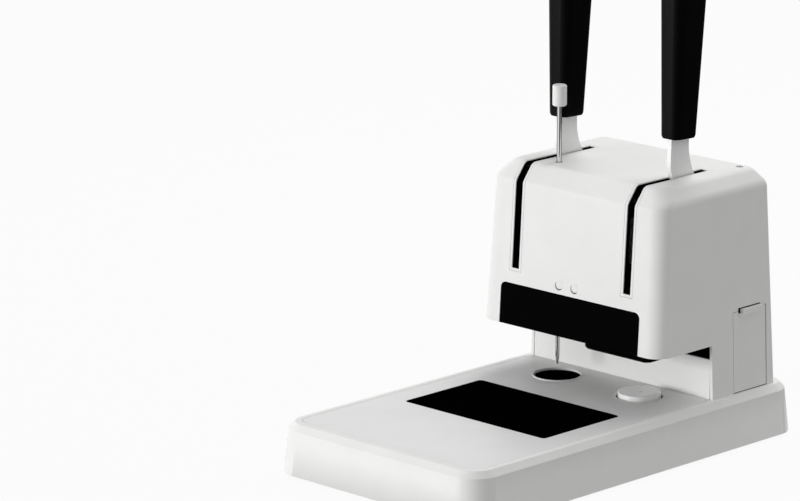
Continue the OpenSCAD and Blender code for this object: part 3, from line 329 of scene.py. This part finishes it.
def finish(name, colour, roughness, tint=0.03, tint_scale=30, grain=0.0, grain_scale=1800,
           rough_range=0.06, stretch=(1, 1, 1), uniform=None):
    """A Principled material with slight colour drift, uneven roughness and a fine surface grain."""
    mat = bpy.data.materials.new(name)
    mat.use_nodes = True
    nodes, links = mat.node_tree.nodes, mat.node_tree.links
    shader = nodes["Principled BSDF"]
    for socket, value in (uniform or {}).items():
        shader.inputs[socket].default_value = value
    coords = nodes.new("ShaderNodeTexCoord")
    mapping = nodes.new("ShaderNodeMapping")
    mapping.inputs["Scale"].default_value = stretch
    links.new(coords.outputs["Object"], mapping.inputs["Vector"])

    def noise(scale, detail):
        node = nodes.new("ShaderNodeTexNoise")
        node.inputs["Scale"].default_value = scale
        node.inputs["Detail"].default_value = detail
        links.new(mapping.outputs[0], node.inputs["Vector"])
        return node.outputs["Fac"]

    ramp = nodes.new("ShaderNodeValToRGB")
    ramp.color_ramp.elements[0].position = 0.3
    ramp.color_ramp.elements[1].position = 0.7
    ramp.color_ramp.elements[0].color = (*[c * (1 - tint) for c in colour], 1)
    ramp.color_ramp.elements[1].color = (*[min(1, c * (1 + tint)) for c in colour], 1)
    links.new(noise(tint_scale, 3), ramp.inputs[0])
    links.new(ramp.outputs[0], shader.inputs["Base Color"])
    spread = nodes.new("ShaderNodeMapRange")
    spread.inputs["To Min"].default_value = max(0.02, roughness - rough_range)
    spread.inputs["To Max"].default_value = min(1, roughness + rough_range)
    links.new(noise(tint_scale * 6, 4), spread.inputs["Value"])
    links.new(spread.outputs[0], shader.inputs["Roughness"])
    if grain:
        bump = nodes.new("ShaderNodeBump")
        bump.inputs["Strength"].default_value = grain
        bump.inputs["Distance"].default_value = 0.05 * MM
        links.new(noise(grain_scale, 2), bump.inputs["Height"])
        links.new(bump.outputs[0], shader.inputs["Normal"])
    return mat


def paint_edge_reflection(mat):
    """Paints a metal's edges dark in its base colour: a painted reflection, as a round bar's edges
    are in a white room.
    """
    nodes, links = mat.node_tree.nodes, mat.node_tree.links
    shader = nodes["Principled BSDF"]
    bright = shader.inputs["Base Color"].links[0].from_socket
    weight = nodes.new("ShaderNodeLayerWeight")
    weight.inputs["Blend"].default_value = EDGE_BLEND
    bands = nodes.new("ShaderNodeValToRGB")
    middle, edge = bands.color_ramp.elements
    middle.color, edge.color = (1, 1, 1, 1), EDGE_PAINTED_SHADE
    middle.position, edge.position = EDGE_BANDS
    shade = nodes.new("ShaderNodeMix")
    shade.data_type = "RGBA"
    shade.blend_type = "MULTIPLY"
    shade.inputs["Factor"].default_value = 1
    links.new(weight.outputs["Facing"], bands.inputs[0])
    links.new(bright, shade.inputs["A"])
    links.new(bands.outputs[0], shade.inputs["B"])
    links.new(shade.outputs["Result"], shader.inputs["Base Color"])


# ---- Mesh tools ----

def link_object(name, mesh):
    piece = bpy.data.objects.new(name, mesh)
    bpy.context.scene.collection.objects.link(piece)
    return piece


def paint(piece, material):
    piece.data.materials.clear()
    piece.data.materials.append(MATERIALS[material])


def add_piece(name, mesh, node):
    """A new object that stands for a CAD node: same body, same material slot."""
    piece = link_object(name, mesh)
    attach(piece, NODES[node]["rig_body"])
    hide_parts(node)
    paint(piece, SLOTS[node])
    return piece


def extra_part(name, mesh, material):
    """A part of the machine's body that no CAD node has."""
    piece = link_object(name, mesh)
    paint(piece, material)
    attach(piece, "machine")
    return piece


def painted_shade_part(name, mesh):
    """A dead black part that paints shade into a gap where only shade falls."""
    return extra_part(name, mesh, "void_black")


def soften(piece, width, angle=32):
    """Rounds the sharp edges with real geometry and evens the normals of the flats."""
    for polygon in piece.data.polygons:
        polygon.use_smooth = True
    bevel = piece.modifiers.new("bevel", "BEVEL")
    bevel.width = width
    bevel.segments = 3
    bevel.limit_method = "ANGLE"
    bevel.angle_limit = math.radians(angle)
    bevel.use_clamp_overlap = True
    bevel.miter_outer = "MITER_ARC"
    normals = piece.modifiers.new("normals", "WEIGHTED_NORMAL")
    normals.keep_sharp = True
    return piece


def clean_copy(node):
    """A CAD piece's mesh with its doubled points merged and its flats in one face each."""
    mesh = NODES[node].data.copy()
    work = bmesh.new()
    work.from_mesh(mesh)
    bmesh.ops.remove_doubles(work, verts=work.verts, dist=1e-6)
    bmesh.ops.dissolve_limit(work, angle_limit=math.radians(0.4), verts=work.verts,
                             edges=work.edges)
    work.to_mesh(mesh)
    work.free()
    return mesh


def dress(node, width):
    """A CAD piece as a clean mesh in the same place, with its sharp edges rounded."""
    return soften(add_piece(node + "_form", clean_copy(node), node), width)


def mesh_of(name, verts, faces):
    mesh = bpy.data.meshes.new(name)
    mesh.from_pydata(verts, [], faces)
    mesh.validate()
    return mesh


def carve(mesh, steps):
    """Runs exact booleans on a mesh: steps is a list of (operation, mesh). Returns the new mesh."""
    subject = link_object("subject", mesh)
    tools = []
    for operation, tool_mesh in steps:
        tool = link_object("tool", tool_mesh)
        tools.append(tool)
        step = subject.modifiers.new("step", "BOOLEAN")
        step.operation = operation
        step.solver = "EXACT"
        step.object = tool
    bpy.context.view_layer.update()
    graph = bpy.context.evaluated_depsgraph_get()
    result = bpy.data.meshes.new_from_object(subject.evaluated_get(graph))
    for thing in [subject] + tools:
        bpy.data.objects.remove(thing)
    work = bmesh.new()
    work.from_mesh(result)
    bmesh.ops.remove_doubles(work, verts=work.verts, dist=2e-6)
    bmesh.ops.dissolve_degenerate(work, edges=work.edges, dist=2e-6)
    work.to_mesh(result)
    work.free()
    return result


def cut(mesh, tools):
    """The mesh less every tool."""
    return carve(mesh, [("DIFFERENCE", tool) for tool in tools])


def block(a, b):
    """Box mesh from its low corner to its high corner."""
    (x0, y0, z0), (x1, y1, z1) = a, b
    verts = [(x, y, z) for z in (z0, z1) for x, y in ((x0, y0), (x1, y0), (x1, y1), (x0, y1))]
    faces = [(3, 2, 1, 0), (4, 5, 6, 7)]
    faces += [(i, (i + 1) % 4, (i + 1) % 4 + 4, i + 4) for i in range(4)]
    return mesh_of("block", verts, faces)


def loft(rings):
    """Closed solid through rings that all have as many points, with its two ends capped."""
    count = len(rings[0])
    verts = [point for outline in rings for point in outline]
    faces = [tuple(range(count - 1, -1, -1)), tuple(range(len(verts) - count, len(verts)))]
    for start in range(0, len(verts) - count, count):
        for i in range(count):
            j = (i + 1) % count
            faces.append((start + i, start + j, start + count + j, start + count + i))
    return mesh_of("loft", verts, faces)


def arc(cx, cy, r, start, steps):
    """Quarter circle from the angle start, in degrees."""
    return [(cx + r * math.cos(math.radians(start + 90 * k / steps)),
             cy + r * math.sin(math.radians(start + 90 * k / steps))) for k in range(steps + 1)]


def rounded(x0, y0, x1, y1, r_low, r_high, steps=10):
    """Rounded rectangle, with one radius at y0's corners and another at y1's."""
    return (arc(x1 - r_low, y0 + r_low, r_low, 270, steps)
            + arc(x1 - r_high, y1 - r_high, r_high, 0, steps)
            + arc(x0 + r_high, y1 - r_high, r_high, 90, steps)
            + arc(x0 + r_low, y0 + r_low, r_low, 180, steps))


def upright(outline, z0, z1):
    """Prism along Z."""
    return loft([[(x, y, z) for x, y in outline] for z in (z0, z1)])


def forward(outline, y0, y1):
    """Prism along Y from an outline in X and Z."""
    return loft([[(x, y, z) for x, z in outline] for y in (y1, y0)])


def ring(cx, cy, r, steps=48):
    return [(cx + r * math.cos(2 * math.pi * k / steps), cy + r * math.sin(2 * math.pi * k / steps))
            for k in range(steps)]


# ---- Housing ----

def front_profile(z):
    """Depth of the head's front at height z, with the two bends rounded off."""
    facet_slope = FACET_D / FACET_H
    lean, tilt = math.atan(FRONT_LEAN), math.atan(facet_slope)
    turn = tilt - lean
    reach = BEND_RADIUS * math.tan(turn / 2)
    z0 = BEND_Z - reach * math.cos(lean)
    z1 = BEND_Z + reach * math.cos(tilt)
    straight = HEAD_Y + FRONT_LEAN * (z - HEAD_Z)
    if z <= z0:
        return straight
    bend_y = HEAD_Y + FRONT_LEAN * (BEND_Z - HEAD_Z)
    if z < z1:
        centre_y = HEAD_Y + FRONT_LEAN * (z0 - HEAD_Z) + BEND_RADIUS * math.cos(lean)
        centre_z = z0 - BEND_RADIUS * math.sin(lean)
        return centre_y - math.sqrt(max(0, BEND_RADIUS ** 2 - (z - centre_z) ** 2))
    top_reach = BEND_RADIUS * math.tan((math.pi / 2 - tilt) / 2)
    z2 = TOP_Z - top_reach * math.cos(tilt)
    if z <= z2:
        return bend_y + (z - BEND_Z) * facet_slope
    centre_z = TOP_Z - BEND_RADIUS
    centre_y = bend_y + (z2 - BEND_Z) * facet_slope + BEND_RADIUS * math.cos(tilt)
    return centre_y - math.sqrt(max(0, BEND_RADIUS ** 2 - (z - centre_z) ** 2))


def side_bend(inset):
    """Leg, bend radius and tangent length of the sloped edge round the top."""
    radius = max(MM, TOP_BEND - inset)
    return TOP_CHAMFER - CHAMFER_PER_INSET * inset, radius, radius * math.tan(math.pi / 8)


def side_draw(depth, inset):
    """How far the sides draw in at a depth below the top: a slope between two soft bends."""
    leg, radius, reach = side_bend(inset)
    if depth >= leg + reach:
        return 0
    if depth > leg - reach * math.sqrt(0.5):
        return radius - math.sqrt(max(0, radius ** 2 - (leg + reach - depth) ** 2))
    if depth > reach * math.sqrt(0.5):
        return leg - depth
    return leg + reach - math.sqrt(max(0, radius ** 2 - (radius - depth) ** 2))


def house_ring(z, inset):
    """Outline of the housing at height z, drawn in by a wall thickness."""
    draw = side_draw(TOP_Z - inset - z, inset)
    half = HALF_W - SIDE_LEAN * (z - SURF_Z) - inset - draw
    y0 = front_profile(min(z + inset * 0.5, TOP_Z)) + inset
    y1 = REAR_Y - SIDE_LEAN * (z - SURF_Z) - inset - draw / 2
    outline = rounded(-half, y0, half, y1, FRONT_CORNER - inset, REAR_CORNER - inset / 2)
    return [(x, y, z) for x, y in outline]


def house_solid(inset):
    """The whole head and column as one solid, with rings close together where it bends."""
    top = TOP_Z - inset
    leg, radius, reach = side_bend(inset)
    levels = [SURF_Z - (MM if inset else 0), SURF_Z + 50 * MM, HEAD_Z + 60 * MM, BEND_Z - 8 * MM]
    levels += [BEND_Z + k * 0.7 * MM for k in range(-6, 8)]
    for k in range(9):
        turn = math.radians(45 * k / 8)
        levels.append(top - leg - reach + radius * math.sin(turn))
        levels.append(top - radius * (1 - math.cos(turn)))
    unique = []
    for z in sorted(levels):
        if not unique or z - unique[-1] > 0.04 * MM:
            unique.append(z)
    return loft([house_ring(z, inset) for z in unique])


def slot_block(side, grow):
    half = SLOT_W / 2 + grow
    x = side * LEVER_X
    return block((x - half, HEAD_Y - MARGIN, SLOT_LOW_Z - grow),
                 (x + half, SLOT_REAR_Y + grow, TOP_Z + MARGIN))


def window_prism(grow):
    half = high("front_window").x + grow
    z1 = high("front_window").z + grow
    r = WINDOW_CORNER + grow
    outline = (arc(half - r, z1 - r, r, 0, 8) + arc(-half + r, z1 - r, r, 90, 8)
               + [(-half, HEAD_Z - MARGIN), (half, HEAD_Z - MARGIN)])
    return forward(outline, HEAD_Y - 0.05, COLUMN_Y - MARGIN)


def throat_block():
    return block((-CUT, -CUT, -CUT), (CUT, COLUMN_Y, HEAD_Z))


def make_housing():
    rear_low, rear_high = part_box("rear_cover")
    rod_x, rod_y = (low("clearing_rod") + high("clearing_rod")).xy / 2
    hole_x, hole_y = (low("storage_tube") + high("storage_tube")).xy / 2
    tools = [house_solid(WALL), throat_block(), window_prism(WINDOW_SEAM),
             upright(ring(rod_x, rod_y, ROD_HOLE_R), HEAD_Z, TOP_Z + 0.01),
             upright(ring(hole_x, hole_y, TUBE_HOLE_R), HEAD_Z, TOP_Z + 0.01),
             block((rear_low.x - COVER_SEAM, COLUMN_Y + 0.06, rear_low.z - COVER_SEAM),
                   (rear_high.x + COVER_SEAM, CUT, rear_high.z + COVER_SEAM))]
    tools += [slot_block(side, SLOT_RIM + SLOT_SEAM) for side in (-1, 1)]
    tools.append(block((0.08, DOOR_Y0 - DOOR_FRONT_GAP, 0),
                       (CUT, DOOR_Y1 + DOOR_REAR_GAP, DOOR_TOP + 0.5 * MM)))
    tools.append(block((0.08, DOOR_Y0 + DOOR_TAB_IN - MM, 0),
                       (CUT, DOOR_Y1 - DOOR_TAB_IN + MM, DOOR_TOP + 3.4 * MM)))
    tools += [forward(ring(x - LENS_HOLE_SHIFT, LENS_HOLE_Z, LENS_HOLE_R),
                      HEAD_Y - MARGIN, HEAD_Y + MARGIN) for x in LENS_X]
    shell = cut(house_solid(0), tools)
    # Painted shade: a black block behind the lens holes, seen as dark crescents where the holes sit
    # off the lenses
    painted_shade_part("lens_crescent_shade", block((-20 * MM, HEAD_Y + 4.6 * MM, HEAD_Z + 45 * MM),
                                     (12 * MM, HEAD_Y + 5.6 * MM, HEAD_Z + 57 * MM)))
    soften(add_piece("housing_shell", shell, "house_cover"), 0.45 * MM, angle=38)


def slot_part(side, outer, inner):
    """The part of a slot's trim between two depths below the housing's surface."""
    return carve(house_solid(outer), [("DIFFERENCE", house_solid(inner)),
                                      ("INTERSECT", slot_block(side, SLOT_RIM)),
                                      ("DIFFERENCE", slot_block(side, 0))])


def make_slot_trims():
    """Each trim is a white rim round a black sheet of painted shade that goes on into the housing,
    where the slot is dark inside.
    """
    for side, node in ((-1, "left_slot_trim"), (1, "right_slot_trim")):
        rim = slot_part(side, 0, SLOT_RIM_DEPTH)
        soften(add_piece(node + "_rim", rim, node), 0.4 * MM, angle=38)
        painted_shade_part(node + "_inner_shade", slot_part(side, SLOT_RIM_DEPTH, SLOT_DEPTH))


def make_window():
    pane = carve(house_solid(0), [("DIFFERENCE", house_solid(WALL)),
                                  ("INTERSECT", window_prism(0)),
                                  ("DIFFERENCE", throat_block())])
    soften(add_piece("smoked_window", pane, "front_window"), 0.5 * MM, angle=38)


def make_column_front():
    """The white panel under the head, and a dark sheet of painted shade that closes the gap above
    it.
    """
    half = HALF_W - SIDE_LEAN * 20 * MM - WALL
    panel = block((-half - 0.2 * MM, COLUMN_Y + 0.6 * MM, SURF_Z),
                  (half - 0.8 * MM, COLUMN_Y + 3.5 * MM, high("column_front").z))
    soften(add_piece("column_panel", panel, "column_front"), 0.4 * MM)
    shade_sheet = block((-half + MM, COLUMN_Y + 4.5 * MM, SURF_Z + MM),
                   (half - 0.05 * MM, COLUMN_Y + 6 * MM, HEAD_Z + 0.4 * MM))
    soften(painted_shade_part("throat_shade_sheet", shade_sheet), 0.3 * MM)


def side_strip(y0, y1, z0, z1, deep, deeper):
    """A strip that lies between two depths under the housing's right side."""
    def side(z, depth):
        return HALF_W - SIDE_LEAN * (z - SURF_Z) - depth, z
    return forward([side(z0, deep), side(z1, deep), side(z1, deeper), side(z0, deeper)], y0, y1)


def make_rear_cover():
    """The service cover in the rear wall, with its vents and two openings."""
    cover_low, cover_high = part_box("rear_cover")

    def rear(z, depth):
        return REAR_Y - SIDE_LEAN * (z - SURF_Z) - depth, z

    thickness = 2.5 * MM
    outline = [rear(cover_low.z, 0), rear(cover_high.z, 0),
               rear(cover_high.z, thickness), rear(cover_low.z, thickness)]
    slab = loft([[(x, y, z) for y, z in outline] for x in (cover_low.x, cover_high.x)])
    tools = []
    for node, flange in (("switch_frame", 1.8 * MM), ("mains_inlet", 3.8 * MM)):
        a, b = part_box(node)
        tools.append(block((a.x + flange, REAR_Y - 0.03, a.z + flange),
                           (b.x - flange, CUT, b.z - flange)))
    for k in range(VENTS):
        z = SURF_Z + (96 + 8 * k) * MM
        vent = rounded(12 * MM, z, 68 * MM, z + 3.6 * MM, 1.7 * MM, 1.7 * MM, 6)
        tools.append(forward(vent, REAR_Y - 0.03, CUT))
    soften(add_piece("service_cover", cut(slab, tools), "rear_cover"), 0.35 * MM, angle=38)


def make_well_lip():
    """A thin white ring round the drill pad's well."""
    a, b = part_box("drill_pad")
    x, y, r = (a.x + b.x) / 2, (a.y + b.y) / 2, (b.x - a.x) / 2
    lip = cut(upright(ring(x, y, r + 1.9 * MM, 72), SURF_Z - MM, SURF_Z + LIP_RISE),
              [upright(ring(x, y, r + 0.3 * MM, 72), SURF_Z - 0.01, SURF_Z + 0.01)])
    soften(extra_part("well_lip", lip, "white_plastic"), 0.2 * MM)


def make_drawer():
    """The chip drawer, with its sloped tab, and black strips of painted shade in the gaps round its
    door.
    """
    x1, z1 = high("chip_drawer").x, high("chip_drawer").z
    notch0, tab0, tab1 = DOOR_Y0 + NOTCH_IN, DOOR_Y0 + 11 * MM, DOOR_Y1 - NOTCH_IN
    slope = forward([(x1 - 4 * MM, z1 + 1.13 * MM), (x1 + MM, z1 + 1.13 * MM),
                     (x1 + MM, z1 - 4.53 * MM)], 0, CUT)
    drawer = cut(clean_copy("chip_drawer"), [
        slope, block((x1 - 12 * MM, 0, 0), (CUT, CUT, SURF_Z + 0.9 * MM)),
        block((x1 - 6.5 * MM, notch0, z1 - NOTCH_DEPTH), (CUT, tab0, CUT))])
    soften(add_piece("chip_drawer_form", drawer, "chip_drawer"), 0.35 * MM)
    # Painted shade: black strips in the door's gaps and round the tab, where only shade falls
    front, rear = DOOR_Y0 - DOOR_FRONT_GAP, DOOR_Y1 + DOOR_REAR_GAP
    for name, place in (("front", (front, DOOR_Y0 - 0.05 * MM, SURF_Z, DOOR_TOP)),
                        ("rear", (DOOR_Y1 + 0.05 * MM, rear, SURF_Z, DOOR_TOP)),
                        ("low", (front, rear, SURF_Z, SURF_Z + 0.22 * MM)),
                        ("tab", (tab0 - 3.5 * MM, tab1, z1 + 0.1 * MM, z1 + 1.5 * MM)),
                        ("notch", (notch0, tab0 - 0.1 * MM, z1 - NOTCH_DEPTH, z1 + 1.5 * MM))):
        painted_shade_part("door_gap_shade_" + name, side_strip(*place, 0.6 * MM, 2.4 * MM))


# ---- Everything else ----

DRESSED = (  # CAD node, width of its rounded edges in millimetres
    ("base_shell", 1.2), ("work_plate", 0.7), ("instruction_panel", 0.12), ("drill_pad", 0.3),
    ("rivet_seat", 0.5), ("rivet_guard", 0.6), ("mains_inlet", 0.3), ("switch_frame", 0.3),
    ("switch_rocker", 0.4), ("rod_cap", 0.8), ("underside_plate", 0.4), ("feet", 0.5),
    ("indicator_lenses", 0.4), ("drill_grip", 0.8), ("rivet_grip", 0.8),
)
REPAINTED = {"instruction_panel": "panel_film", "drill_pad": "panel_film",
             # The rivet seat's gloss_white is partly a glossier finish and partly painted light
             # against the shade under the head
             "rivet_seat": "gloss_white", "drill_grip": "grip_black", "rivet_grip": "grip_black"}


def make_dressed():
    for node, width in DRESSED:
        piece = dress(node, width * MM)
        if node in REPAINTED:
            paint(piece, REPAINTED[node])
    paint(NODES["clearing_rod"], "chrome")
    paint(NODES["lower_die"], "aluminium")


def make_seat_spring():
    """The seat's spring, as a piece with its own copy of the mesh; it keeps its shape here, though
    the real spring shortens by the seat's travel as the seat is pressed.
    """
    spring = add_piece("seat_spring_form", clean_copy("seat_spring"), "seat_spring")
    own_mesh(spring)


SLOTS = {row["node"]: row["material_slot"] for row in frame["record"]["subparts"]}
MATERIALS = {name: finish(name, **look) for name, look in FINISHES.items()}
# The chrome gets painted reflection: its edges darkened in its colour
paint_edge_reflection(MATERIALS["chrome"])
for node_name, node_object in NODES.items():
    paint(node_object, SLOTS[node_name])

make_camera()
make_world()
make_floor()
make_lamps()
make_housing()
make_slot_trims()
make_window()
make_column_front()
make_rear_cover()
make_well_lip()
make_drawer()
make_dressed()
make_seat_spring()

bpy.context.scene.view_settings.view_transform = "Standard"
